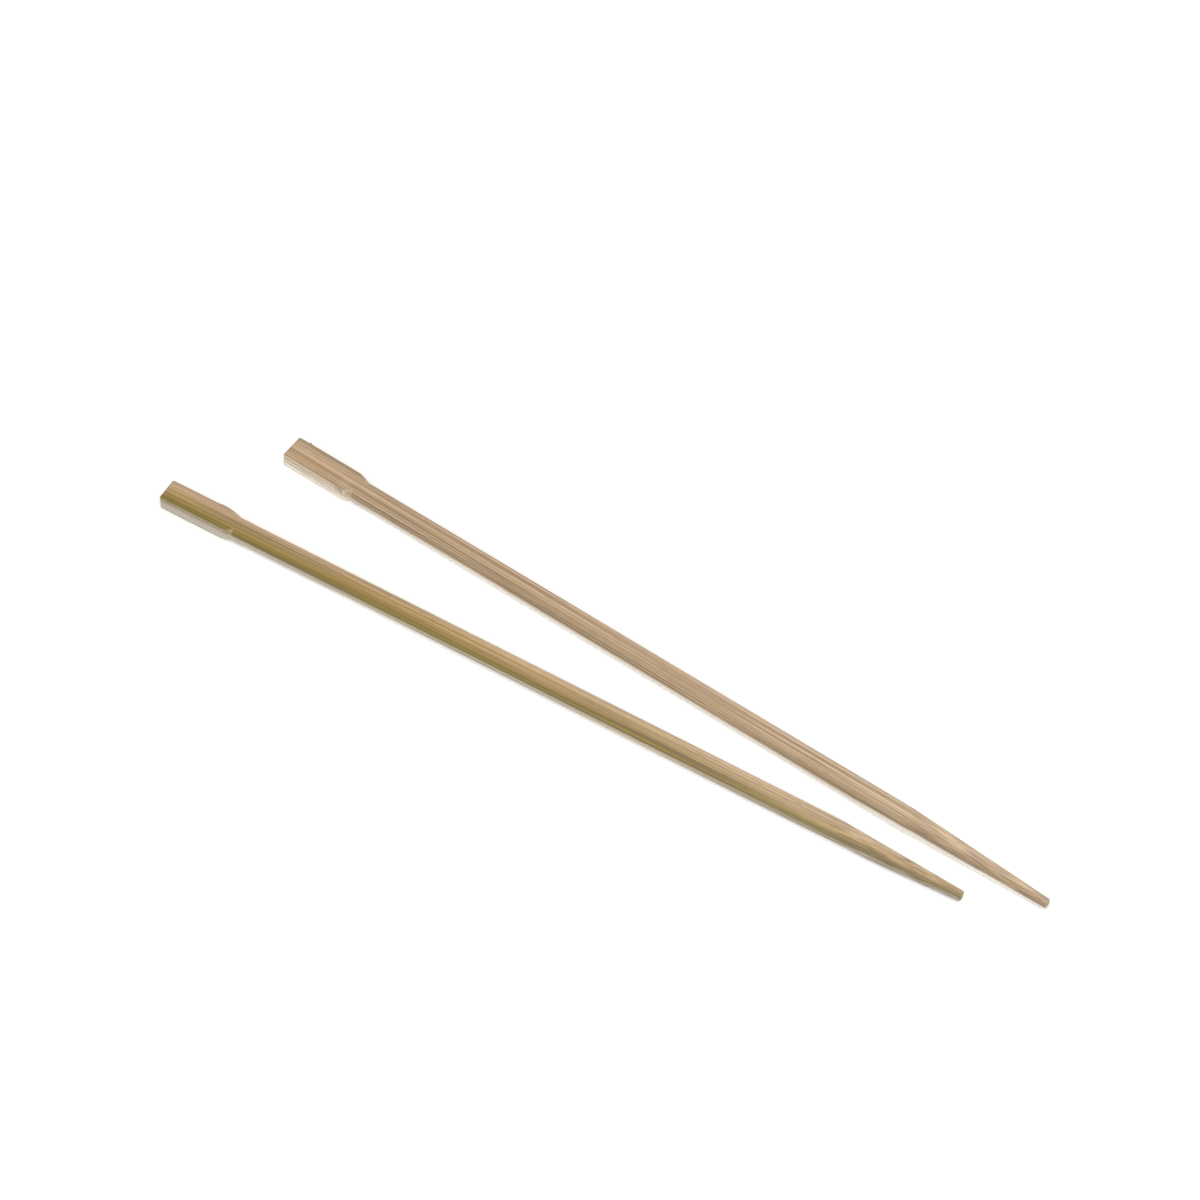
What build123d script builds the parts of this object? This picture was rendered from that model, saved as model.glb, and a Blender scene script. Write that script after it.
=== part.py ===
from build123d import *
import os
from math import asin, cos, pi, sin

# A pair of disposable bamboo chopsticks, snapped apart and laid in a narrow V.
# Both came from one flat blank: they were joined side by side at the square heads,
# and one pair of cutters rounded the shafts between the heads and the tips.
#
# Frame: +X runs along the middle of the V from the heads to the tips, +Y across it
# towards the back stick, +Z up.  The origin is the middle of the footprint, on the
# surface that both sticks lie on.  All sizes are in millimetres.

# The stick
length = 210.0
thickness = 4.0
head_length = 15.8
front_head_width = 5.75
back_head_width = 6.3
arris_radius = 0.18
end_corner_radius = 0.35

# The rounded shaft, and the runout where the cutters lift clear of the head
shaft_width = 5.4
shaft_corner_radius = 1.5
shoulder_length = 3.4
runout_steps = 3
runout_start_slope = 0.35
runout_margin = 0.03

# The sharpened tip, which drops towards the surface: more of it was cut from above
front_taper_length = 32.5
back_taper_length = 37.5
front_tip_drop = 0.75
back_tip_drop = 0.4
tip_diameter = 2.4
tip_corner_share = 0.96
tip_chamfer = 0.15

# The chip that snapping left beside the back stick's shoulder, on its split side
chip_start = 15.0
chip_length = 2.9
chip_depth = 0.45
chip_height = 0.9
chip_drop = 0.5
chip_peak_share = 0.7

# The sliver lost from the back stick's outer edge at the head end
sliver_length = 2.7
sliver_depth = 0.22
sliver_height = 2.6

# How the two sticks lie
head_spacing = 26.0
tip_spacing = 8.5
stagger = 16.9

mid_height = thickness / 2
shoulder_end = head_length + shoulder_length
corner_rise = shaft_corner_radius * (1 - cos(pi / 4)) + runout_margin
half_spread = asin((head_spacing - tip_spacing) / (2 * length))
end_width = front_head_width + tip_diameter
footprint_length = stagger + length * cos(half_spread) + sin(half_spread) * end_width / 2
heads_width = front_head_width + back_head_width
footprint_width = head_spacing + cos(half_spread) * heads_width / 2
front_head_x = (sin(half_spread) * front_head_width - footprint_length) / 2
front_head_y = (cos(half_spread) * front_head_width - footprint_width) / 2


def lying_plane(head_x, head_y, turn):
    """The surface under a stick: origin below its head end, x along it, turned from +X."""
    return Plane((head_x, head_y, 0), x_dir=(cos(turn), sin(turn), 0), z_dir=(0, 0, 1))


def section_plane(lie, along, drop=0.0):
    """The plane across a stick at a distance from its head end: x across it, y up."""
    centre = lie.from_local_coords((along, 0, mid_height - drop))
    return Plane(centre, x_dir=lie.y_dir, z_dir=lie.x_dir)


def cut_stick(lie, head_width, taper_length, tip_drop):
    """One stick as the cutters leave it, lying along the plane's x."""
    taper_start = length - taper_length
    corner_inset = head_width / 2 - end_corner_radius
    with BuildPart() as stick:
        # the shoulder: a slice of the blank, cut by a profile that widens towards the head
        with BuildSketch(section_plane(lie, head_length)):
            RectangleRounded(head_width, thickness, arris_radius)
        extrude(amount=shoulder_length)
        for step in range(runout_steps + 1):
            share = step / runout_steps
            lift = share * (runout_start_slope + (1 - runout_start_slope) * share)
            rise = corner_rise * lift
            width = shaft_width + (head_width - shaft_width) * lift
            with BuildSketch(section_plane(lie, shoulder_end - shoulder_length * share)):
                RectangleRounded(width + 2 * rise, thickness + 2 * rise, shaft_corner_radius)
        loft(ruled=True, mode=Mode.INTERSECT)
        # the head keeps the whole blank, with its two end corners worn round
        with BuildSketch(section_plane(lie, 0)):
            RectangleRounded(head_width, thickness, arris_radius)
        extrude(amount=head_length)
        with BuildSketch(lie):
            with Locations((0, head_width / 2), (0, -head_width / 2)):
                Rectangle(2 * end_corner_radius, 2 * end_corner_radius)
            with Locations((end_corner_radius, corner_inset), (end_corner_radius, -corner_inset)):
                Circle(end_corner_radius, mode=Mode.SUBTRACT)
        extrude(amount=thickness, mode=Mode.SUBTRACT)
        # the shaft, then the tip drawn down to a near-round end
        with BuildSketch(section_plane(lie, shoulder_end)):
            RectangleRounded(shaft_width, thickness, shaft_corner_radius)
        extrude(amount=taper_start - shoulder_end)
        with BuildSketch(section_plane(lie, taper_start)):
            RectangleRounded(shaft_width, thickness, shaft_corner_radius)
        with BuildSketch(section_plane(lie, length, tip_drop)):
            RectangleRounded(tip_diameter, tip_diameter, tip_corner_share * tip_diameter / 2)
        loft(ruled=True)
        tip_end = stick.faces().sort_by(Axis(lie.origin, lie.x_dir))[-1]
        chamfer(tip_end.edges(), length=tip_chamfer)
    return stick.part


os.makedirs("parts", exist_ok=True)

front_lie = lying_plane(front_head_x, front_head_y, half_spread)
with BuildPart() as chopstick_front:
    add(cut_stick(front_lie, front_head_width, front_taper_length, front_tip_drop))
chopstick_front.part.label = "chopstick_front"
export_step(chopstick_front.part, "parts/chopstick_front.step")

back_lie = lying_plane(front_head_x + stagger, front_head_y + head_spacing, -half_spread)
split_side = -back_head_width / 2
outer_side = back_head_width / 2
with BuildPart() as chopstick_back:
    add(cut_stick(back_lie, back_head_width, back_taper_length, back_tip_drop))
    # the chip: a torn hollow under the upper arris, deepest near its shoulder end
    with BuildSketch(back_lie.offset(thickness - chip_drop - chip_height)):
        with BuildLine():
            Polyline(
                (chip_start, split_side - chip_depth),
                (chip_start, split_side),
                (chip_start + chip_peak_share * chip_length, split_side + chip_depth),
                (chip_start + chip_length, split_side),
                (chip_start + chip_length, split_side - chip_depth),
                close=True,
            )
        make_face()
    extrude(amount=chip_height, mode=Mode.SUBTRACT)
    # the lost sliver: a shallow step along the upper part of the outer side
    with BuildSketch(back_lie.offset(thickness - sliver_height)):
        with Locations((0, outer_side)):
            Rectangle(2 * sliver_length, 2 * sliver_depth)
    extrude(amount=sliver_height, mode=Mode.SUBTRACT)
chopstick_back.part.label = "chopstick_back"
export_step(chopstick_back.part, "parts/chopstick_back.step")
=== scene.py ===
from collections import namedtuple
from math import atan2, cos, hypot, pi, radians, sin, sqrt, tau

import bmesh
import bpy
from bpy.props import FloatProperty, FloatVectorProperty, PointerProperty
from mathutils import Matrix, Vector, noise


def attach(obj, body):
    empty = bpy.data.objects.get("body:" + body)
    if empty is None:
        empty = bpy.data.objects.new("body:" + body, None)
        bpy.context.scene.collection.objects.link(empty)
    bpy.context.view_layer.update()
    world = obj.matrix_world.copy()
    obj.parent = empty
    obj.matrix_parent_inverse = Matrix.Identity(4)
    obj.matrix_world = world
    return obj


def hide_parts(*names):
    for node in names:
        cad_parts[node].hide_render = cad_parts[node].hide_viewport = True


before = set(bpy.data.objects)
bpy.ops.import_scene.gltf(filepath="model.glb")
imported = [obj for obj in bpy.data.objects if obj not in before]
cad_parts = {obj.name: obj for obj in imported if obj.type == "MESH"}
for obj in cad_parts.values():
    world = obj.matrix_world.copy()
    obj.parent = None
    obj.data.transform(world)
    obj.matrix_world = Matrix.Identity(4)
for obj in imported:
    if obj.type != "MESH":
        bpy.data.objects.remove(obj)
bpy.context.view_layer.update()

# A split pair of disposable bamboo chopsticks.  Each stick is one solid piece, drawn as a
# tube of many rings around its own axis, so that the planed flats, the cutters' runout,
# the worn arrises and the torn fibres are all shape.  Sizes are millimetres in the stick's
# own frame: x along it from the head end, y across it (the split side is y < 0), z up.

bl_info = {
    "name": "Bamboo Chopsticks",
    "version": (1, 0, 0),
    "blender": (4, 5, 0),
    "location": "View3D > Sidebar > Chopsticks",
    "description": "Models a split pair of disposable bamboo chopsticks and a small studio",
    "category": "Add Mesh",
}

MM = 0.001
BODY = "root"


def linear(hex_colour):
    """An sRGB hex colour as linear red, green and blue."""
    shares = [((hex_colour >> shift) & 255) / 255 for shift in (16, 8, 0)]
    return [c / 12.92 if c <= 0.04045 else ((c + 0.055) / 1.055) ** 2.4 for c in shares]


def smooth(low, high, value):
    """0 below low and 1 above high, turning smoothly between them; low may be the larger."""
    share = min(1.0, max(0.0, (value - low) / (high - low)))
    return share * share * (3 - 2 * share)


def bump(middle, half_width, value):
    """1 at the middle, falling smoothly to 0 at half_width either side."""
    return smooth(half_width, 0, abs(value - middle))


def grain(x, y, z, run, gap, seed=0.0):
    """Noise from -1 to 1 that is drawn out along the fibres: run and gap are mm along and across."""
    return noise.noise(Vector((x / run + seed, y / gap, z / gap - seed)))


# ------------------------------------------------------------------ settings


class ChopstickSizes(bpy.types.PropertyGroup):
    """What the cutters left: the sizes that the frame's boxes don't give."""

    shaft_width: FloatProperty(
        name="Shaft width", description="Width of the rounded shaft, in mm",
        default=5.4, min=3, max=9)
    shaft_corner: FloatProperty(
        name="Shaft corner radius", description="Radius of the cutters' corner, in mm",
        default=1.5, min=0.3, max=2)
    arris_radius: FloatProperty(
        name="Arris radius", description="Radius that tumbling leaves on the head's edges, in mm",
        default=0.16, min=0.02, max=0.6)
    corner_radius: FloatProperty(
        name="End corner radius", description="Radius of the head's worn corners, in mm",
        default=0.35, min=0.05, max=1.5)
    front_taper: FloatProperty(
        name="Front taper", description="Length of the front stick's tip, in mm",
        default=32.5, min=10, max=80)
    back_taper: FloatProperty(
        name="Back taper", description="Length of the back stick's tip, in mm",
        default=37.5, min=10, max=80)
    tip_diameter: FloatProperty(
        name="Tip diameter", description="Thickness of the tip's end, in mm",
        default=2.4, min=1, max=5)
    chip_start: FloatProperty(
        name="Chip start", description="Where the torn chip at the back stick's shoulder starts, in mm",
        default=15.0, min=5, max=30)
    chip_length: FloatProperty(
        name="Chip length", description="Length of the torn chip, in mm",
        default=2.9, min=0.5, max=10)
    chip_depth: FloatProperty(
        name="Chip depth", description="Depth of the torn chip, in mm",
        default=0.45, min=0, max=1)
    web_end: FloatProperty(
        name="Web end", description="Where the ridge of torn web along the back stick fades out, in mm",
        default=56, min=25, max=150)
    sliver_length: FloatProperty(
        name="Sliver length", description="Length of the sliver that the back stick's far side lost, in mm",
        default=2.7, min=0, max=10)
    sliver_depth: FloatProperty(
        name="Sliver depth", description="Depth of the missing sliver, in mm",
        default=0.22, min=0, max=1)


def colour(name, description, hex_colour):
    """A colour property with an sRGB default."""
    return FloatVectorProperty(
        name=name, description=description, subtype="COLOR", size=3, min=0, max=1,
        default=linear(hex_colour))


class ChopstickColours(bpy.types.PropertyGroup):
    """The few colours of the culm wall that each stick was cut from, of its worked places, and of the light
    and shade painted on it.
    """

    skin_pale: colour("Front, far side", "Pale wall on the front stick's far side", 0xB49879)
    skin_tan: colour("Front, middle", "Tan wall along the middle of the front stick", 0x997E4E)
    skin_olive: colour("Front, skin side", "Olive wall close under the culm's skin", 0x6F5F1E)
    inner_pale: colour("Back, wall", "Pale straw wall of the back stick", 0xA98F72)
    inner_gold: colour("Back, golden streak", "Golden streak along the back stick", 0x92784F)
    inner_brown: colour("Back, split side edge", "Browner wall near the back stick's split side", 0xA08768)
    # also the colour of the runout paint, a painted highlight on the cutters' facets
    dry: colour("Dry tip", "Paler, drier wall towards the tips", 0xBCA68C)
    sawn: colour("Sawn side", "Dry, grey sawn side of the front stick", 0xACA295)
    split: colour("Split side", "Fresh cream split side of the back stick", 0xC8BDAD)
    # painted bounce light: this colour paints the near side's lower edge nearly white for the light that
    # the white floor throws up on it
    foot: colour("Foot of the side", "Lower edge of the near side, rubbed nearly white", 0xECE8E0)
    # painted highlight: this pale colour paints the light that the head's upper arris catches
    arris: colour("Worn arris", "Edge that tumbling has rubbed pale", 0xD0C5AE)
    torn: colour("Torn fibre", "Pale ends of torn fibres", 0xE6DCCB)
    bundle: colour("Fibre bundle", "Brown of the hard bundles in the culm wall", 0x6A5330)
    # partly painted shade: besides the wheel's streaks, this grey-brown darkens the near-top round of the
    # shafts for its shade
    grime_and_shade: colour("Worked round", "Grey-brown that the cutters and the wheel leave on the rounds", 0x665840)
    # painted shade: this dark fills the chip's open cracks
    crack_and_shade: colour("Crack", "Dark inside an open crack", 0x4A3015)


class StudioSettings(bpy.types.PropertyGroup):
    """Camera, room light and floor; the softboxes are in SOFTBOXES."""

    camera_height: FloatProperty(
        name="Camera height", description="Angle of the camera above the floor",
        subtype="ANGLE", default=radians(55), min=0, max=pi / 2)
    camera_turn: FloatProperty(
        name="Camera turn", description="Angle of the camera round the pair",
        subtype="ANGLE", default=radians(33.67), min=-pi, max=pi)
    camera_distance: FloatProperty(
        name="Camera distance", description="Distance from the camera to its aim",
        subtype="DISTANCE", unit="LENGTH", default=1.4647, min=0.2, max=5)
    lens: FloatProperty(
        name="Lens", description="Focal length in mm on a 36 mm sensor", default=192.8, min=20, max=400)
    aim: FloatVectorProperty(
        name="Aim", description="Point on the floor that the camera looks at",
        subtype="TRANSLATION", unit="LENGTH", size=3, default=(-0.01457, 0.01851, 0))
    room_light: FloatProperty(
        name="Room light", description="Strength of the white light from all round",
        default=0.7, min=0, max=5)
    floor: FloatVectorProperty(
        name="Floor", description="Colour of the paper floor",
        subtype="COLOR", size=3, min=0, max=1, default=linear(0xF7F7F6))


class ChopstickSettings(bpy.types.PropertyGroup):
    """Everything the panel shows."""

    sizes: PointerProperty(type=ChopstickSizes)
    colours: PointerProperty(type=ChopstickColours)
    studio: PointerProperty(type=StudioSettings)


# ------------------------------------------------------------------ the stick's own frame


class Stick:
    """One stick's place and driving sizes, in mm: what the frame gives, and what the settings add."""

    end_reach = 0.4         # how far from each end its points still tell where its middle is, in mm
    runout_slope = 1.25     # how steeply a cutter starts to lift, against its mean slope
    runout_margin = 0.03    # how far past the blank the lifted cutter ends, in mm
    tip_roundness = 0.96    # share of the tip's half width that its corners take
    side_steps = (28, 46, 40, 20)   # points along the far side, the top, the near side and the bottom

    def __init__(self, node, taper, sizes, runouts):
        places = [v.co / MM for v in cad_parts[node].data.vertices]
        first = min(p.x for p in places)
        last = max(p.x for p in places)
        head = self.middle([p for p in places if p.x < first + self.end_reach])
        tip = self.middle([p for p in places if p.x > last - self.end_reach])
        self.turn = atan2(tip.y - head.y, tip.x - head.x)
        way = Vector((cos(self.turn), sin(self.turn), 0))
        left = Vector((-way.y, way.x, 0))
        reaches = [p.dot(way) for p in places]
        self.length = max(reaches) - min(reaches)
        self.start = head + way * (min(reaches) - head.dot(way))
        self.half_width = max(abs((p - self.start).dot(left)) for p in places)
        self.half_height = max(p.z for p in places) / 2
        tip_heights = [p.z for p in places if p.x > last - self.end_reach]
        self.tip_drop = self.half_height - (min(tip_heights) + max(tip_heights)) / 2
        turned = Matrix.Rotation(self.turn, 4, "Z") @ Matrix.Scale(MM, 4)
        self.to_pair = Matrix.Translation(self.start * MM) @ turned
        self.sizes = sizes
        self.taper_start = self.length - taper
        self.runouts = runouts
        self.shoulder_end = max(full for _, full in runouts.values())

    @staticmethod
    def middle(places):
        """The middle of the points' box, on the floor."""
        low = [min(p[i] for p in places) for i in (0, 1)]
        high = [max(p[i] for p in places) for i in (0, 1)]
        return Vector(((low[0] + high[0]) / 2, (low[1] + high[1]) / 2, 0))

    def sharpened(self, along, lead=0.0):
        """0 on the shaft, growing evenly to 1 at the tip; lead is how long before the taper it starts."""
        start = self.taper_start - lead
        return max(0.0, (along - start) / (self.length - start))

    def tapering(self, along):
        """0 on the shaft and 1 well into the taper, turning smoothly between them."""
        return smooth(self.taper_start - 10, self.taper_start + 12, along)

    def narrowed(self, along):
        """The stick's width against the shaft's: 1 on the shaft and 0.45 at the tip."""
        return 1 - 0.55 * self.sharpened(along)

    def blank(self, along):
        """Half width, half height and corner radius of the planed blank."""
        radius = self.sizes.corner_radius
        missing = max(0.0, radius - along)
        worn = radius - sqrt(radius * radius - missing * missing)
        return self.half_width - worn, self.half_height, self.sizes.arris_radius

    def runout(self, across, up):
        """Where the cutters are clear of the blank, and where they are down to full depth."""
        far, top = smooth(-0.5, 0.5, across), smooth(-0.4, 0.4, up)
        low, near, away = (self.runouts[key] for key in ("bottom", "near_top", "far_top"))
        return [(l * (1 - top) + (n * (1 - far) + a * far) * top) for l, n, a in zip(low, near, away)]

    def cut(self, along, across, up):
        """Half width, half height and corner radius of the cutters' path, in one direction."""
        sizes = self.sizes
        corner = sizes.shaft_corner
        clear, full = self.runout(across, up)
        if along < full:
            share = (full - along) / (full - clear)
            lift = share * (self.runout_slope + (1 - self.runout_slope) * min(1.0, share))
            rise = (corner * (1 - cos(pi / 4)) + self.runout_margin) * lift     # past the blank's arris
            width = sizes.shaft_width / 2 * (1 - lift) + self.half_width * lift
            return width + rise, self.half_height + rise, corner
        share = self.sharpened(along)
        end = sizes.tip_diameter / 2
        mixed = [a + (b - a) * share for a, b in (
            (sizes.shaft_width / 2, end), (self.half_height, end), (corner, self.tip_roundness * end))]
        return tuple(mixed)

    def outline(self):
        """Directions from the axis to evenly spaced points round the blank, closer at its arrises."""
        wide, high, radius = self.half_width, self.half_height, self.sizes.arris_radius
        points = []
        for turn, steps in enumerate(self.side_steps):
            across, up = (wide, high) if turn % 2 == 0 else (high, wide)
            side = [(across, (up - radius) * (2 * k / steps - 1)) for k in range(steps + 1)]
            turns = (pi / 10, pi / 5, 3 * pi / 10, 2 * pi / 5)
            arc = [(across - radius * (1 - cos(a)), up - radius * (1 - sin(a))) for a in turns]
            turn_cos, turn_sin = cos(turn * pi / 2), sin(turn * pi / 2)
            points += [(y * turn_cos - z * turn_sin, y * turn_sin + z * turn_cos) for y, z in side + arc]
        return [(y / hypot(y, z), z / hypot(y, z)) for y, z in points]


def reach(across, up, half_width, half_height, corner):
    """How far a rounded rectangle reaches in a direction, and how squarely its side faces there."""
    y, z = abs(across), abs(up)
    flat_y, flat_z = half_width - corner, half_height - corner
    if y * flat_z >= z * half_width:
        return half_width / y, 1.0
    if z * flat_y >= y * half_height:
        return half_height / z, 0.0
    near = y * flat_y + z * flat_z
    out = near + sqrt(near * near - flat_y * flat_y - flat_z * flat_z + corner * corner)
    return out, (out * y - flat_y) / corner


# Where each cutter is clear of the blank, and where it is down to full depth: mm from the head
# end.  The lower cutter lifts slowly, and the back stick's blank went in a little askew.
FRONT_RUNOUTS = {"bottom": (15.7, 19.4), "near_top": (17.2, 19.2), "far_top": (15.4, 19.0)}
BACK_RUNOUTS = {"bottom": (15.6, 19.0), "near_top": (16.2, 18.8), "far_top": (17.1, 20.5)}

SKIN_TILT = radians(30)     # how far the culm's skin is turned down from the stick's near side

# The rings, in mm: how far wear rounds the edge of each end, the steps between rings, how far the
# head's and the taper's fine steps reach on to the shaft, and the least gap before the tip's edge.
END_WEAR = 0.14
HEAD_STEP, SHAFT_STEP, TAPER_STEP = 0.14, 0.55, 0.3
HEAD_MARGIN, TAPER_MARGIN = 2, 6
LAST_GAP = 0.1
FACE_SHARES = (0.0, 0.2, 0.4, 0.6, 0.8, 0.92)   # the end face's rings, as shares of its outline
WELD = 0.0005               # mm within which points are merged, such as the sheet's two long edges


def ring_places(stick):
    """Each ring's place along the stick, its inset from the outline, and its share of the end face."""
    face = [(0.0, END_WEAR, share) for share in FACE_SHARES]
    turns = (0, pi / 8, pi / 4, 3 * pi / 8, pi / 2)
    edge = [(END_WEAR * (1 - cos(a)), END_WEAR * (1 - sin(a)), 1.0) for a in turns]
    along = END_WEAR
    body = []
    while True:
        if along < stick.shoulder_end + HEAD_MARGIN:
            along += HEAD_STEP
        elif along > stick.taper_start - TAPER_MARGIN:
            along += TAPER_STEP
        else:
            along += SHAFT_STEP
        if along > stick.length - END_WEAR - LAST_GAP:
            break
        body.append((along, 0.0, 1.0))
    end_edge = [(stick.length - a, inset, share) for a, inset, share in reversed(edge)]
    end_face = [(stick.length, inset, share) for _, inset, share in reversed(face)]
    return face + edge + body + end_edge + end_face


# One point of the surface: its place in mm, how squarely its side faces across the stick,
# 1 where the cutters reached it, how far the blank stood outside it there, and its share of
# the end face (1 off the ends).
Spot = namedtuple("Spot", "along y z facing cutting spare share")


def draw_stick(name, stick, dress):
    """A sheet rolled into a closed tube of rings; dress() gives each point a push and its paints."""
    directions = stick.outline()
    rings = ring_places(stick)
    last_ring, around = len(rings) - 1, len(directions)
    bm = bmesh.new()
    bmesh.ops.create_grid(bm, x_segments=last_ring, y_segments=around, size=0.5)
    layers = {key: bm.verts.layers.float.new(key) for key in PAINTS}
    for vert in bm.verts:
        along, inset, share = rings[round((vert.co.x + 0.5) * last_ring)]
        across, up = directions[round((vert.co.y + 0.5) * around) % around]
        out, facing = reach(across, up, *stick.blank(along))
        cutting, spare = 0.0, 0.0
        if along > stick.runout(across, up)[0]:
            cut, cut_facing = reach(across, up, *stick.cut(along, across, up))
            if cut < out:
                cutting, spare = 1.0, out - cut
                out, facing = cut, cut_facing
        out = (out - inset) * share
        spot = Spot(along, out * across, out * up + stick.half_height, facing, cutting, spare, share)
        push, paints = dress(spot)
        for key, value in paints.items():
            vert[layers[key]] = value
        out += push
        middle = stick.half_height - stick.tip_drop * stick.sharpened(along)
        vert.co = (along, out * across, max(0.0, out * up + middle))
    bmesh.ops.remove_doubles(bm, verts=bm.verts[:], dist=WELD)
    bmesh.ops.transform(bm, matrix=stick.to_pair, verts=bm.verts[:])
    bmesh.ops.recalc_face_normals(bm, faces=bm.faces[:])
    return finished(name, bm)


def finished(name, bm):
    """A mesh object at the origin from a bmesh in the pair's frame, smooth all over."""
    mesh = bpy.data.meshes.new(name)
    bm.to_mesh(mesh)
    bm.free()
    mesh.shade_smooth()
    piece = bpy.data.objects.new(name, mesh)
    bpy.context.scene.collection.objects.link(piece)
    return piece


# ------------------------------------------------------------------ shape of the surface

PAINTS = ("flank", "foot", "arris", "runout", "torn", "line", "ground_and_shade", "crack_and_shade", "cut_end")

SHARPENING_LEAD = 12        # mm before the taper where the wheel first touched the side

# The near side on the round, measured in mm down from the stick's middle, across the growth
# layers: its upper edge on the shaft and at the tip, how late it rises between them (1 is evenly),
# how far below the edge its foot's painted bounce light starts and over how many mm it fades in,
# and that painted light's strength on the head.  The grey-brown band over the edge, partly painted
# shade on the near-top round: mm above the edge where it is full, mm over which it fades in, and
# its strength.  It turns into the tip's band along the taper.
Side = namedtuple("Side", "edge tip_edge rise foot_start foot_reach head_foot band")
Band = namedtuple("Band", "above fade strength")
FRONT_SIDE = Side(1.6, 0.55, 2.0, 0.82, 0.33, 0.1, Band(0.4, 0.6, 0.22))
BACK_SIDE = Side(2.04, 0.88, 0.8, 0.0, 0.8, 0.25, Band(0.9, 1.3, 0.4))
TIP_BAND = Band(1.2, 0.8, 0.9)
HEAD_DIP, HEAD_DIP_STRETCH = 0.15, (60, 25)     # mm: the edge is lower near the head, from 60 down to 25

GROOVE_DEPTH, GROOVE_GAP = 0.012, 0.35      # mm: the fibre grooves that the plane leaves
SWELL_DEPTH, SWELL_GAP = 0.022, 3.2         # mm: the slow unevenness that tumbling leaves
GRAIN_RUN = 30                              # mm that either keeps its height along the stick
ROUGH_SEED = 31.0                           # one pattern for the wheel's streaks and their relief


def planed(spot, seed):
    """What planing and tumbling leave all over, in mm: shallow fibre grooves and a slow unevenness."""
    if spot.share < 1:
        return 0.0
    grooves = GROOVE_DEPTH * grain(spot.along, spot.y, spot.z, GRAIN_RUN, GROOVE_GAP, seed)
    slow = SWELL_DEPTH * grain(spot.along, spot.y, spot.z, GRAIN_RUN, SWELL_GAP, seed + 5)
    return grooves + slow


def side_down(stick, spot, side):
    """How far down across the layers a point is, and where the near side's upper edge is there, in mm."""
    down = -spot.y * cos(SKIN_TILT) - (spot.z - stick.half_height) * sin(SKIN_TILT)
    edge = side.edge + HEAD_DIP * smooth(*HEAD_DIP_STRETCH, spot.along)
    edge += (side.tip_edge - edge) * stick.sharpened(spot.along, SHARPENING_LEAD) ** side.rise
    return down, edge


def ground_and_shade_band(stick, spot, side, planed_shaft):
    """The streaky grey-brown band over the near side's edge: the wheel's streaks towards the tip, and
    painted shade on the near-top round along the shaft.
    """
    down, edge = side_down(stick, spot, side)
    tapering, narrow = stick.tapering(spot.along), stick.narrowed(spot.along)
    above, fade, strength = (a + (b - a) * tapering for a, b in zip(side.band, TIP_BAND))
    band = strength * smooth(edge - (above + fade) * narrow, edge - above * narrow, down)
    streaks = 0.85 + 0.6 * grain(spot.along, spot.y, spot.z, 6, 0.45, ROUGH_SEED)
    faded = (0.6 - 0.15 * tapering) * smooth(edge - 0.2, edge + 0.5, down)
    return band * (planed_shaft * streaks * (1 - faded))


def worked_places(stick, spot, side):
    """Paints that both sticks share: the near side and its arris, the cutters' marks, the cut ends, and
    painted light among them: bounce light on the near side's foot, highlights on the arris and the runout,
    shade on the near-top round.
    """
    if spot.share < 1:
        return {"cut_end": smooth(stick.length / 2, 0, spot.along)}
    near = 1.0 if spot.y < 0 else 0.0
    on_head = 1 - spot.cutting
    upper = smooth(stick.half_height - 0.2, stick.half_height + 0.2, spot.z)
    _, full = stick.runout(spot.y, spot.z - stick.half_height)
    planed_shaft = spot.cutting * smooth(full, full + 2, spot.along)
    down, edge = side_down(stick, spot, side)

    # the near side: flat on the head, and on the round the part below its edge
    round_flank = 0.85 * smooth(edge - 0.12, edge + 0.15, down)
    flat_flank = near * smooth(0.9, 0.97, spot.facing)
    flank = round_flank if spot.cutting else flat_flank

    # its foot, painted nearly white as painted bounce light from the white floor, which thins out towards
    # the tip
    bounce_light_top = edge + side.foot_start
    foot = 0.9 * smooth(bounce_light_top, bounce_light_top + side.foot_reach * stick.narrowed(spot.along), down)
    foot *= spot.cutting * smooth(full, full + 7, spot.along)
    foot = max(foot, near * side.head_foot * (1 - planed_shaft) * smooth(1.7, 0.8, spot.z))

    # the head's upper arris: a painted highlight along it, which on the front stick also marks the wear
    # that rounds it
    from_arris = abs(abs(spot.y) - stick.half_width) + abs(2 * stick.half_height - 0.25 - spot.z)
    arris = near * on_head * smooth(0.35, 0.0, from_arris)

    # the scoop where the cutters lift clear, and the crease where they are down to full depth, both painted
    # paler as a painted highlight on these facets
    scooped = smooth(0.02, 0.10, spot.spare) * smooth(full + 0.15, full - 0.25, spot.along)
    crease = bump(full + 0.05, 0.3, spot.along) * smooth(0.05, 0.3, spot.facing)
    runout = spot.cutting * upper * max(0.6 * scooped, crease)

    # the ground band, partly painted shade on the near-top round, and the far side of the head, which
    # handling has dulled
    handled = 0.5 * on_head * upper * smooth(0.45, 0.9, spot.y / stick.half_width)
    ground_and_shade = max(ground_and_shade_band(stick, spot, side, planed_shaft), handled)

    # a dark line just over the near side's edge, and one where the head was sawn off
    line = 0.3 * planed_shaft * (1 - stick.tapering(spot.along)) * bump(edge - 0.2, 0.22, down)
    line = max(line, 1.2 * smooth(0.38, 0.08, spot.along))
    return {
        "flank": flank, "foot": foot, "arris": arris, "runout": runout, "ground_and_shade": ground_and_shade, "line": line}


def wheel_relief(stick, spot, ground_and_shade, depth, run, gap):
    """The roughness that the wheel left in the ground band towards the tip, in mm."""
    rough = grain(spot.along, spot.y, spot.z, run, gap, ROUGH_SEED)
    return depth * ground_and_shade * rough * stick.sharpened(spot.along, SHARPENING_LEAD)


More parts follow.
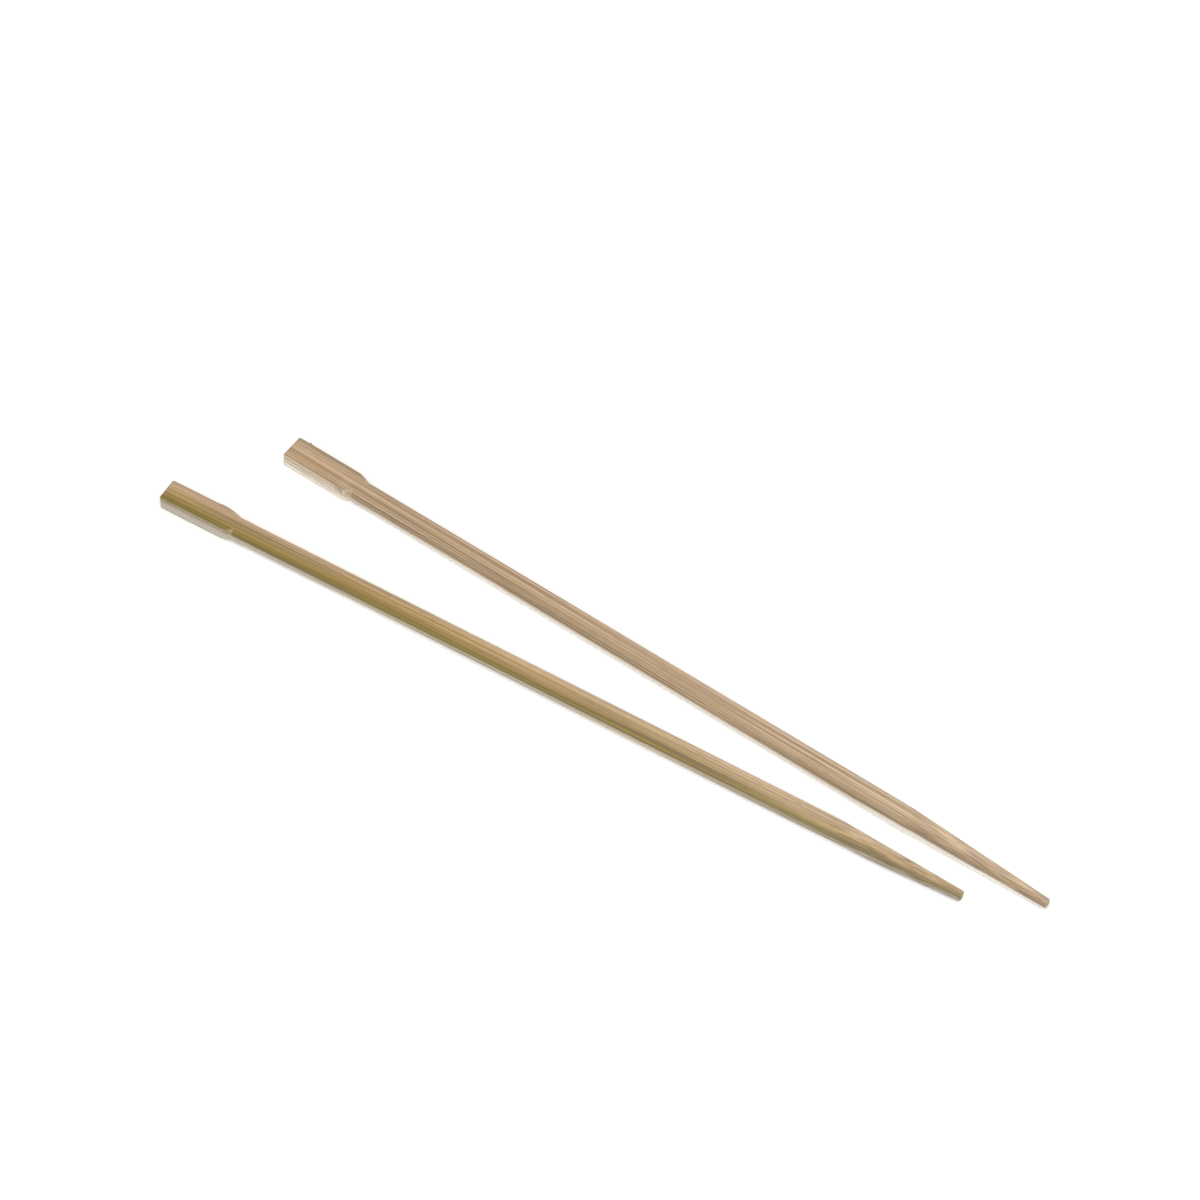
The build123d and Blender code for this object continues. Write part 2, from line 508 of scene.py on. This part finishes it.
def saw_marks(spot):
    """Two sets of slanting saw marks: their relief in mm, and how dark they are."""
    saw_gap, cross_gap, depth = 0.62, 0.84, 0.014       # mm
    saw = sin(tau * (spot.along * 0.86 + spot.z * 0.5) / saw_gap)
    cross = sin(tau * (spot.along * 0.8 - spot.z * 0.6) / cross_gap)
    return depth * (saw + 0.6 * cross), 0.25 * (0.5 + 0.3 * saw + 0.2 * cross)


def swollen_shoulder(spot):
    """The front blank's slight swelling where the far cutter lifts clear of it, in mm."""
    swelling, middle, half_length = 0.13, 14.2, 2.4     # mm
    return swelling * bump(middle, half_length, spot.along) * smooth(0.6, 1.0, spot.facing)


def dress_front(stick):
    """The skin-side stick: a sawn near side, a swollen far shoulder, and a side ground at its taper."""
    arris_wear = 0.03           # mm

    def dress(spot):
        paints = worked_places(stick, spot, FRONT_SIDE)
        push = planed(spot, 0.0)
        if spot.share < 1:
            return push, paints
        paints["arris"] *= 0.1 + 0.25 * smooth(3.5, 6.0, spot.along)    # painted highlight and wear both weak at the end
        push -= arris_wear * paints["arris"]
        if spot.cutting == 0:
            relief, darkness = saw_marks(spot)
            push += relief * paints["flank"]
            paints["ground_and_shade"] = max(paints["ground_and_shade"], darkness * paints["flank"])
            if spot.y > 0:
                push += swollen_shoulder(spot)
        push += wheel_relief(stick, spot, paints["ground_and_shade"], depth=0.06, run=2.6, gap=0.5)
        return push, paints

    return dress


# What happened to the back stick's split side.  Each gives a push in mm, and paints.


def split_tongue(stick, spot):
    """A tongue of split wood runs on under the chip, where the cutter skidded over it."""
    middle, half_length, height, half_height = 17.2, 1.9, 1.3, 0.9      # mm
    tongue = 0.6 * bump(middle, half_length, spot.along) * bump(height, half_height, spot.z)
    return spot.spare * tongue, {"torn": tongue}


def torn_chip(stick, spot):
    """The chip: a torn hollow under the upper edge, with two open cracks between its fibres, which are
    painted dark as painted shade.
    """
    sizes, top = stick.sizes, 2 * stick.half_height
    height, drop, deepest = 0.9, 0.5, 0.7       # mm, mm below the top, share of the length
    crack_drops, crack_reach, crack_length = (0.45, 1.15), 0.33, 2.1    # mm
    share = (spot.along - sizes.chip_start) / sizes.chip_length
    lens = smooth(0, deepest, share) * smooth(1, 0.88, share)
    hollow = lens * bump(top - drop - height / 2, height * 0.8, spot.z)
    # painted shade: this mask both sinks the cracks and paints them dark
    crack_and_shade = max(smooth(crack_reach, 0.1, abs(top - down - spot.z)) for down in crack_drops)
    crack_end = sizes.chip_start + crack_length
    crack_and_shade *= smooth(sizes.chip_start - 0.3, sizes.chip_start, spot.along)
    crack_and_shade *= smooth(crack_end, crack_end - 0.5, spot.along)
    bared = bump(sizes.chip_start + 1.2, 2.3, spot.along) * bump(top - 0.8, 0.95, spot.z)
    return -sizes.chip_depth * max(0.45 * hollow, 0.8 * crack_and_shade), {"torn": bared, "crack_and_shade": crack_and_shade}


def torn_web(stick, spot):
    """The web between the pair tore off along the cutters' corner, and left a ridge in two grooves, which
    are painted dark as painted shade.
    """
    sizes = stick.sizes
    ridge_height, groove_depth = 0.08, 0.03     # mm
    facing, half_width = 0.57, 0.075            # how squarely the side faces at the ridge
    far_share, fade_length = 0.4, 22            # what is left of it past the web's end, and mm
    fade = smooth(sizes.chip_start + 3.0, sizes.chip_start + 4.2, spot.along)
    fade *= far_share + (1 - far_share) * smooth(sizes.web_end, sizes.web_end - fade_length, spot.along)
    fade *= smooth(stick.taper_start + 10, stick.taper_start - 5, spot.along)
    web = spot.cutting * fade * smooth(stick.half_height, stick.half_height + 0.4, spot.z)
    uneven = 0.8 + 0.5 * grain(spot.along, 0.0, 0.0, 3.5, 1.0, 13.0)
    ridge = web * bump(facing, half_width, spot.facing) * uneven
    above = 0.9 * bump(facing - 0.24, 0.2, spot.facing)
    below = 0.7 * bump(facing + 0.13, 0.1, spot.facing)
    # painted shade: the grooves' mask both sinks them and paints them dark, through the line paint
    grooves = web * (above + below)
    return ridge_height * ridge - groove_depth * grooves, {"torn": 0.8 * ridge, "line": grooves}


def split_steps(spot):
    """The split followed the fibres, so the side is stepped in long thin layers; in mm."""
    depth, run, gap = 0.07, 22, 0.42
    return depth * grain(spot.along, 0.0, spot.z, run, gap, 3.0)


def lost_sliver(stick, spot):
    """A sliver is gone from the far side at the head end, and the next one stands as a burr; in mm."""
    sizes, top = stick.sizes, 2 * stick.half_height
    burr_reach, burr_height = 0.55, 0.22
    if spot.along >= sizes.sliver_length + 1.6 or spot.facing <= 0.5:
        return 0.0
    gone = sizes.sliver_length + 0.5 * grain(0.0, 0.0, spot.z, 1.0, 0.35, 17.0)
    step = sizes.sliver_depth * smooth(gone, gone - 0.5, spot.along) * smooth(1.2, 1.6, spot.z)
    burr = burr_height * bump(sizes.sliver_length + burr_reach, burr_reach, spot.along)
    return burr * smooth(top - 0.7, top - 0.1, spot.z) - step


def dress_back(stick):
    """The inner stick: a split near side, the chip at its shoulder, and the torn web's ridge."""

    def dress(spot):
        paints = worked_places(stick, spot, BACK_SIDE)
        push = planed(spot, 9.0)
        if spot.share < 1:
            return push, paints
        if spot.cutting == 0:
            push += split_steps(spot) * paints["flank"]
        if spot.y < 0:
            for mark in (split_tongue, torn_chip, torn_web):
                pushed, marked = mark(stick, spot)
                push += pushed
                for key, value in marked.items():
                    paints[key] = max(paints.get(key, 0.0), value)
        else:
            push += lost_sliver(stick, spot)
        push += wheel_relief(stick, spot, paints["ground_and_shade"], depth=0.05, run=5, gap=0.7)
        return push, paints

    return dress


# Loose fibres over the chip: middle along and up, length, thickness, lift at the free end, all mm.
SPLINTERS = (
    (15.8, 3.24, 2.4, 0.16, 0.12), (16.6, 2.72, 2.2, 0.16, 0.20), (17.3, 2.3, 1.8, 0.15, 0.22),
    (15.5, 3.74, 1.3, 0.12, 0.05), (17.7, 3.0, 1.3, 0.12, 0.10))
SPLINTER_SUNK = 0.02        # mm from a splinter's axis into the side
SPLINTER_DROOP = 0.08       # how far the free end hangs, as a share of the length


def draw_splinters(name, stick):
    """Thin spindles that lie along the split side, each bent a little off it at its free end."""
    bm = bmesh.new()
    for middle, height, length, thickness, lift in SPLINTERS:
        made = bmesh.ops.create_icosphere(bm, subdivisions=3, radius=0.5)["verts"]
        bmesh.ops.scale(bm, vec=(length, thickness, thickness), verts=made)
        for vert in made:
            free = max(0.0, vert.co.x / length + 0.5)
            vert.co.y -= lift * free * free
            vert.co.z -= SPLINTER_DROOP * length * free
        bmesh.ops.translate(bm, vec=(middle, SPLINTER_SUNK - stick.half_width, height), verts=made)
    bmesh.ops.transform(bm, matrix=stick.to_pair, verts=bm.verts[:])
    bmesh.ops.recalc_face_normals(bm, faces=bm.faces[:])
    return finished(name, bm)


# ------------------------------------------------------------------ materials


def add_node(tree, kind, inputs=None, stops=None, **settings):
    """Adds a node with its settings; each input takes a value, or a link from a socket."""
    node = tree.nodes.new(kind)
    for name, value in settings.items():
        setattr(node, name, value)
    for name, value in (inputs or {}).items():
        if isinstance(value, bpy.types.NodeSocket):
            tree.links.new(value, node.inputs[name])
        else:
            node.inputs[name].default_value = value
    for index, (place, tint) in enumerate(stops or ()):
        ramp = node.color_ramp.elements
        stop = ramp[index] if index < 2 else ramp.new(place)    # a new ramp has two stops
        stop.position = place
        stop.color = (*tint, 1)
    return node


def matt_paper(tint):
    """Uncoated paper under the pair: one colour, with next to no shine."""
    material = bpy.data.materials.new("matt_white_paper")
    material.use_nodes = True
    shader = material.node_tree.nodes["Principled BSDF"]
    shader.inputs["Base Color"].default_value = (*tint, 1)
    shader.inputs["Roughness"].default_value = 0.9
    return material


# Real sizes that the patterns are drawn from, in mm
LAYER_REACH = 3.6           # from the stick's axis to the outermost growth layer, either way
LAYER_DRIFT = 0.25          # how far the layers slide out over a stick's length, as the culm narrows
WANDER, WANDER_RUN = 0.6, 80        # how far the fibres wander sideways, and over what length
FIBRE_GAP, FIBRE_RUN = 0.26, 55     # real fibre is under 0.05 across, which is too fine to show
BUNDLE_SPACING = 0.85       # between the hard bundles
FLECK_GAP, FLECK_RUN = 0.2, 3.2     # an opened vessel, across and along
RELIEF_DEPTH, FLECK_DEPTH = 0.06, 0.05

# Each paint on the mesh: how strongly it covers the wall, and the colour that it brings
# Painted light among them: the near side's foot is painted bounce light, the head's arris and the runout
# facets get painted highlights, the cracks get painted shade, the ground band is partly painted shade on
# the near-top round, and the lines are partly painted shade in the web's grooves
PAINT_TINTS = {
    "ground_and_shade": (0.7, "grime_and_shade"), "line": (0.5, "bundle"), "foot": (1.0, "foot"), "runout": (0.5, "dry"),
    "arris": (0.7, "arris"), "torn": (0.9, "torn"), "crack_and_shade": (0.95, "crack_and_shade"), "cut_end": (0.35, "bundle")}


def layer_stops(rows):
    """Colour ramp stops from rows of a place across the layers, in mm towards the skin, and its colour."""
    return [((place + LAYER_REACH) / (2 * LAYER_REACH), value) for place, value in rows]


def stick_space(tree, stick, seed):
    """Millimetres in the stick's frame, the same along its wandering fibres, and a part of the culm."""
    coordinates = add_node(tree, "ShaderNodeTexCoord")
    place = add_node(tree, "ShaderNodeMapping", vector_type="TEXTURE", inputs={
        "Vector": coordinates.outputs["Object"], "Location": stick.start * MM,
        "Rotation": (0, 0, stick.turn), "Scale": (MM, MM, MM)})
    slow_place = add_node(tree, "ShaderNodeMapping", inputs={
        "Vector": place.outputs["Vector"], "Scale": (1 / WANDER_RUN, 1 / 4, 1 / 4)})
    slow = add_node(tree, "ShaderNodeTexNoise", inputs={
        "Vector": slow_place.outputs["Vector"], "Scale": 1.0, "Detail": 1.0})
    wander = add_node(tree, "ShaderNodeVectorMath", operation="MULTIPLY_ADD", inputs={
        0: slow.outputs["Color"], 1: (0.0, WANDER, WANDER), 2: (0.0, -WANDER / 2, -WANDER / 2)})
    fibre = add_node(tree, "ShaderNodeVectorMath", operation="ADD", inputs={
        0: place.outputs["Vector"], 1: wander.outputs["Vector"]})
    own_place = add_node(tree, "ShaderNodeVectorMath", operation="ADD", inputs={
        0: fibre.outputs["Vector"], 1: (seed, seed * 0.7, seed * 0.4)})
    return place.outputs["Vector"], fibre.outputs["Vector"], own_place.outputs["Vector"]


def wall_colour(tree, stick, layers, colours, along, fibre):
    """The growth layers from the pith side to the skin, lighter and drier towards the tip."""
    depth = add_node(tree, "ShaderNodeVectorMath", operation="DOT_PRODUCT", inputs={
        0: fibre, 1: (-LAYER_DRIFT / stick.length, -cos(SKIN_TILT), -sin(SKIN_TILT))})
    centre = stick.half_height * sin(SKIN_TILT) + LAYER_DRIFT / 4
    share = add_node(tree, "ShaderNodeMapRange", inputs={
        "Value": depth.outputs["Value"],
        "From Min": -LAYER_REACH - centre, "From Max": LAYER_REACH - centre})
    wall = add_node(tree, "ShaderNodeValToRGB", stops=layer_stops(layers), inputs={
        "Fac": share.outputs["Result"]})

    # the pith side was the driest part of the culm
    drier = add_node(tree, "ShaderNodeMapRange", interpolation_type="SMOOTHSTEP", inputs={
        "Value": along, "From Min": 60.0, "From Max": 200.0, "To Min": 0.0, "To Max": 1.0})
    pithy = add_node(tree, "ShaderNodeMapRange", inputs={
        "Value": share.outputs["Result"],
        "From Min": 0.75, "From Max": 0.2, "To Min": 0.0, "To Max": 0.6})
    dryness = add_node(tree, "ShaderNodeMath", operation="MULTIPLY", inputs={
        0: drier.outputs["Result"], 1: pithy.outputs["Result"]})
    dried = add_node(tree, "ShaderNodeMix", data_type="RGBA", inputs={
        "Factor": dryness.outputs["Value"], "A": wall.outputs["Color"], "B": (*colours.dry, 1)})
    return dried.outputs["Result"]


def near_side(tree, stick, side, wall, up):
    """The sawn or split side in its own colour, which turns to the wall's near its upper edge."""
    height = add_node(tree, "ShaderNodeMapRange", interpolation_type="SMOOTHSTEP", inputs={
        "Value": up, "From Min": stick.half_height * 1.1, "From Max": stick.half_height * 1.8,
        "To Min": 0.0, "To Max": 0.45})
    side_colour = add_node(tree, "ShaderNodeMix", data_type="RGBA", inputs={
        "Factor": height.outputs["Result"], "A": (*side, 1), "B": wall})
    flank = add_node(tree, "ShaderNodeAttribute", attribute_name="flank")
    surface = add_node(tree, "ShaderNodeMix", data_type="RGBA", inputs={
        "Factor": flank.outputs["Fac"], "A": wall, "B": side_colour.outputs["Result"]})
    return surface.outputs["Result"]


def fibre_lines(tree, surface, pattern):
    """Light and dark lines along the fibres; gives the lined colour and the lines' own pattern."""
    place = add_node(tree, "ShaderNodeMapping", inputs={
        "Vector": pattern, "Scale": (1 / FIBRE_RUN, 1 / FIBRE_GAP, 1 / FIBRE_GAP)})
    fine = add_node(tree, "ShaderNodeTexNoise", inputs={
        "Vector": place.outputs["Vector"], "Scale": 1.0, "Detail": 1.5, "Roughness": 0.6})
    lines = add_node(tree, "ShaderNodeMapRange", inputs={
        "Value": fine.outputs["Fac"],
        "From Min": 0.3, "From Max": 0.7, "To Min": 0.58, "To Max": 1.42})
    lined = add_node(tree, "ShaderNodeMix", data_type="RGBA", blend_type="MULTIPLY", inputs={
        "Factor": 1.0, "A": surface, "B": lines.outputs["Result"]})
    return lined.outputs["Result"], fine.outputs["Fac"]


def hard_bundles(tree, surface, pattern, colours):
    """Tubes of hard fibre along the stick: dark lines on its sides and dots on its ends."""
    axes = add_node(tree, "ShaderNodeSeparateXYZ", inputs={"Vector": pattern})
    section = add_node(tree, "ShaderNodeCombineXYZ", inputs={
        "X": axes.outputs["Y"], "Y": axes.outputs["Z"]})
    cells = add_node(tree, "ShaderNodeTexVoronoi", voronoi_dimensions="2D", inputs={
        "Vector": section.outputs["Vector"], "Scale": 1 / BUNDLE_SPACING})
    dots = add_node(tree, "ShaderNodeMapRange", interpolation_type="SMOOTHSTEP", inputs={
        "Value": cells.outputs["Distance"],
        "From Min": 0.3, "From Max": 0.12, "To Min": 0.0, "To Max": 0.45})
    bundled = add_node(tree, "ShaderNodeMix", data_type="RGBA", inputs={
        "Factor": dots.outputs["Result"], "A": surface, "B": (*colours.bundle, 1)})
    return bundled.outputs["Result"]


def opened_vessels(tree, surface, pattern, colours):
    """Short dark flecks in line with the fibres; gives the flecked colour and their own pattern."""
    place = add_node(tree, "ShaderNodeMapping", inputs={
        "Vector": pattern, "Scale": (1 / FLECK_RUN, 1 / FLECK_GAP, 1 / FLECK_GAP)})
    fleck = add_node(tree, "ShaderNodeTexNoise", inputs={
        "Vector": place.outputs["Vector"], "Scale": 1.0, "Detail": 1.0})
    flecks = add_node(tree, "ShaderNodeMapRange", interpolation_type="SMOOTHSTEP", inputs={
        "Value": fleck.outputs["Fac"],
        "From Min": 0.58, "From Max": 0.72, "To Min": 0.0, "To Max": 0.35})
    flecked = add_node(tree, "ShaderNodeMix", data_type="RGBA", inputs={
        "Factor": flecks.outputs["Result"], "A": surface, "B": (*colours.bundle, 1)})
    return flecked.outputs["Result"], fleck.outputs["Fac"]


def painted_places(tree, surface, colours):
    """The worked places over the wall, each where its own paint lies on the mesh."""
    for paint, (strength, tint) in PAINT_TINTS.items():
        painted = add_node(tree, "ShaderNodeAttribute", attribute_name=paint)
        amount = add_node(tree, "ShaderNodeMath", operation="MULTIPLY", inputs={
            0: painted.outputs["Fac"], 1: strength})
        covered = add_node(tree, "ShaderNodeMix", data_type="RGBA", inputs={
            "Factor": amount.outputs["Value"], "A": surface, "B": (*getattr(colours, tint), 1)})
        surface = covered.outputs["Result"]
    return surface


def bamboo(name, stick, layers, side, colours, seed):
    """Planed bamboo: a solid of long fibres, so one pattern runs through flats, rounds and ends.

    Planed and tumbled without varnish, it is nearly matt, with a faint silk along the fibres,
    and darker where the hard bundles surface as thin lines.
    """
    material = bpy.data.materials.new(name)
    material.use_nodes = True
    tree = material.node_tree
    shader = tree.nodes["Principled BSDF"]

    place, fibre, pattern = stick_space(tree, stick, seed)
    axes = add_node(tree, "ShaderNodeSeparateXYZ", inputs={"Vector": place})
    wall = wall_colour(tree, stick, layers, colours, axes.outputs["X"], fibre)
    surface = near_side(tree, stick, side, wall, axes.outputs["Z"])
    surface, fine = fibre_lines(tree, surface, pattern)
    surface = hard_bundles(tree, surface, pattern, colours)
    surface, fleck = opened_vessels(tree, surface, pattern, colours)
    surface = painted_places(tree, surface, colours)
    tree.links.new(surface, shader.inputs["Base Color"])

    # relief of the fibres and vessels, and a silkier shine on the pale fibres
    relief = add_node(tree, "ShaderNodeBump", inputs={
        "Height": fine, "Strength": 0.7, "Distance": RELIEF_DEPTH * MM})
    rough_relief = add_node(tree, "ShaderNodeBump", inputs={
        "Height": fleck, "Strength": 0.5, "Distance": FLECK_DEPTH * MM,
        "Normal": relief.outputs["Normal"]})
    tree.links.new(rough_relief.outputs["Normal"], shader.inputs["Normal"])
    silk = add_node(tree, "ShaderNodeMapRange", inputs={
        "Value": fine, "From Min": 0.3, "From Max": 0.7, "To Min": 0.72, "To Max": 0.54})
    tree.links.new(silk.outputs["Result"], shader.inputs["Roughness"])
    shader.inputs["IOR"].default_value = 1.5
    return material


# ------------------------------------------------------------------ operators


class CHOPSTICKS_OT_front_stick(bpy.types.Operator):
    """Model the front stick: planed bamboo with the skin side's olive band"""

    bl_idname = "chopsticks.front_stick"
    bl_label = "Front Stick"

    def execute(self, context):
        settings = context.scene.chopsticks
        colours = settings.colours
        stick = Stick("chopstick_front", settings.sizes.front_taper, settings.sizes, FRONT_RUNOUTS)
        piece = draw_stick("skin_side_stick", stick, dress_front(stick))
        # pale straw turns olive close under the culm's skin, and the sawn side is dry and grey
        layers = ((-3.2, colours.skin_pale), (-0.9, colours.skin_tan), (0.8, colours.skin_olive))
        piece.data.materials.append(bamboo(
            "planed_skin_side_bamboo", stick, layers, colours.sawn, colours, seed=3.0))
        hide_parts("chopstick_front")
        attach(piece, BODY)
        return {"FINISHED"}


class CHOPSTICKS_OT_back_stick(bpy.types.Operator):
    """Model the back stick: planed inner bamboo with a split side and a torn chip"""

    bl_idname = "chopsticks.back_stick"
    bl_label = "Back Stick"

    def execute(self, context):
        settings = context.scene.chopsticks
        colours = settings.colours
        stick = Stick("chopstick_back", settings.sizes.back_taper, settings.sizes, BACK_RUNOUTS)
        piece = draw_stick("inner_stick", stick, dress_back(stick))
        # the inner wall is an even straw with one golden streak, and the split side is fresh cream
        layers = (
            (-3.2, colours.inner_pale), (-0.5, colours.inner_pale), (-0.1, colours.inner_gold),
            (0.35, colours.inner_pale), (1.3, colours.inner_brown))
        piece.data.materials.append(bamboo(
            "planed_inner_bamboo", stick, layers, colours.split, colours, seed=11.0))
        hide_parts("chopstick_back")
        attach(piece, BODY)
        return {"FINISHED"}


class CHOPSTICKS_OT_splinters(bpy.types.Operator):
    """Model the loose fibres at the back stick's chip"""

    bl_idname = "chopsticks.splinters"
    bl_label = "Splinters"

    def execute(self, context):
        settings = context.scene.chopsticks
        colours = settings.colours
        stick = Stick("chopstick_back", settings.sizes.back_taper, settings.sizes, BACK_RUNOUTS)
        piece = draw_splinters("chip_splinters", stick)
        # torn fibre is paler than planed, because its broken surface scatters the light
        layers = ((-3.2, colours.torn), (1.6, colours.split))
        piece.data.materials.append(bamboo(
            "torn_bamboo_fibre", stick, layers, colours.torn, colours, seed=19.0))
        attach(piece, BODY)
        return {"FINISHED"}


# Square softboxes, aimed at the origin: name, place and side in metres, power in watts
SOFTBOXES = (
    ("top_softbox", (0.0, 0.0, 1.3), 1.0, 5.0),
    ("key_softbox", (0.25, -0.80, 1.0), 1.0, 6.5),
    ("fill_softbox", (0.85, -0.30, 0.8), 1.2, 3.5))
FLOOR_REACH = 3.0           # metres from the pair to the floor's edge
SENSOR_WIDTH = 36           # mm
NEAREST_SEEN = 0.05         # metres


class CHOPSTICKS_OT_studio(bpy.types.Operator):
    """Set the paper floor, the soft lights and the camera"""

    bl_idname = "chopsticks.studio"
    bl_label = "Studio"

    def execute(self, context):
        scene = context.scene
        studio = scene.chopsticks.studio
        self.lay_floor(studio)
        self.light(scene, studio)
        self.set_camera(scene, studio)
        scene.view_settings.view_transform = "Standard"
        return {"FINISHED"}

    def lay_floor(self, studio):
        """A flat sheet of paper under the pair."""
        bm = bmesh.new()
        bmesh.ops.create_grid(bm, x_segments=2, y_segments=2, size=FLOOR_REACH)
        floor = finished("paper_floor", bm)
        floor.data.materials.append(matt_paper(studio.floor))

    def light(self, scene, studio):
        """A white room and the softboxes."""
        world = bpy.data.worlds.new("pale_room")
        world.use_nodes = True
        room = world.node_tree.nodes["Background"]
        room.inputs["Color"].default_value = (1.0, 1.0, 1.0, 1)
        room.inputs["Strength"].default_value = studio.room_light
        scene.world = world
        for name, place, side, power in SOFTBOXES:
            lamp = bpy.data.lights.new(name, "AREA")
            lamp.shape = "SQUARE"
            lamp.size = side
            lamp.energy = power
            softbox = bpy.data.objects.new(name, lamp)
            scene.collection.objects.link(softbox)
            softbox.location = place
            inwards = Vector((0, 0, 0)) - softbox.location
            softbox.rotation_euler = inwards.to_track_quat("-Z", "Y").to_euler()

    def set_camera(self, scene, studio):
        """The camera, looking down at its aim from its height and turn."""
        lens = bpy.data.cameras.new("camera")
        lens.lens = studio.lens
        lens.sensor_width = SENSOR_WIDTH
        lens.clip_start = NEAREST_SEEN
        camera = bpy.data.objects.new("camera", lens)
        scene.collection.objects.link(camera)
        turn, height = studio.camera_turn, studio.camera_height
        back = Vector((sin(turn) * cos(height), -cos(turn) * cos(height), sin(height)))
        camera.location = Vector(studio.aim) + back * studio.camera_distance
        camera.rotation_euler = (-back).to_track_quat("-Z", "Y").to_euler()
        scene.camera = camera


class CHOPSTICKS_PT_panel(bpy.types.Panel):
    """The add-on's panel in the 3D view's sidebar"""

    bl_idname = "CHOPSTICKS_PT_panel"
    bl_label = "Bamboo Chopsticks"
    bl_space_type = "VIEW_3D"
    bl_region_type = "UI"
    bl_category = "Chopsticks"

    def draw(self, context):
        settings = context.scene.chopsticks
        for group in (settings.sizes, settings.colours, settings.studio):
            box = self.layout.box()
            for name in group.__annotations__:
                box.prop(group, name)
        for operator in OPERATORS:
            self.layout.operator(operator.bl_idname)


OPERATORS = (
    CHOPSTICKS_OT_studio, CHOPSTICKS_OT_front_stick, CHOPSTICKS_OT_back_stick, CHOPSTICKS_OT_splinters)
CLASSES = (
    ChopstickSizes, ChopstickColours, StudioSettings, ChopstickSettings, *OPERATORS,
    CHOPSTICKS_PT_panel)


def register():
    for cls in CLASSES:
        bpy.utils.register_class(cls)
    bpy.types.Scene.chopsticks = PointerProperty(type=ChopstickSettings)


def unregister():
    del bpy.types.Scene.chopsticks
    for cls in reversed(CLASSES):
        bpy.utils.unregister_class(cls)


def main():
    register()
    bpy.ops.chopsticks.studio()
    bpy.ops.chopsticks.front_stick()
    bpy.ops.chopsticks.back_stick()
    bpy.ops.chopsticks.splinters()


if __name__ == "__main__":
    main()
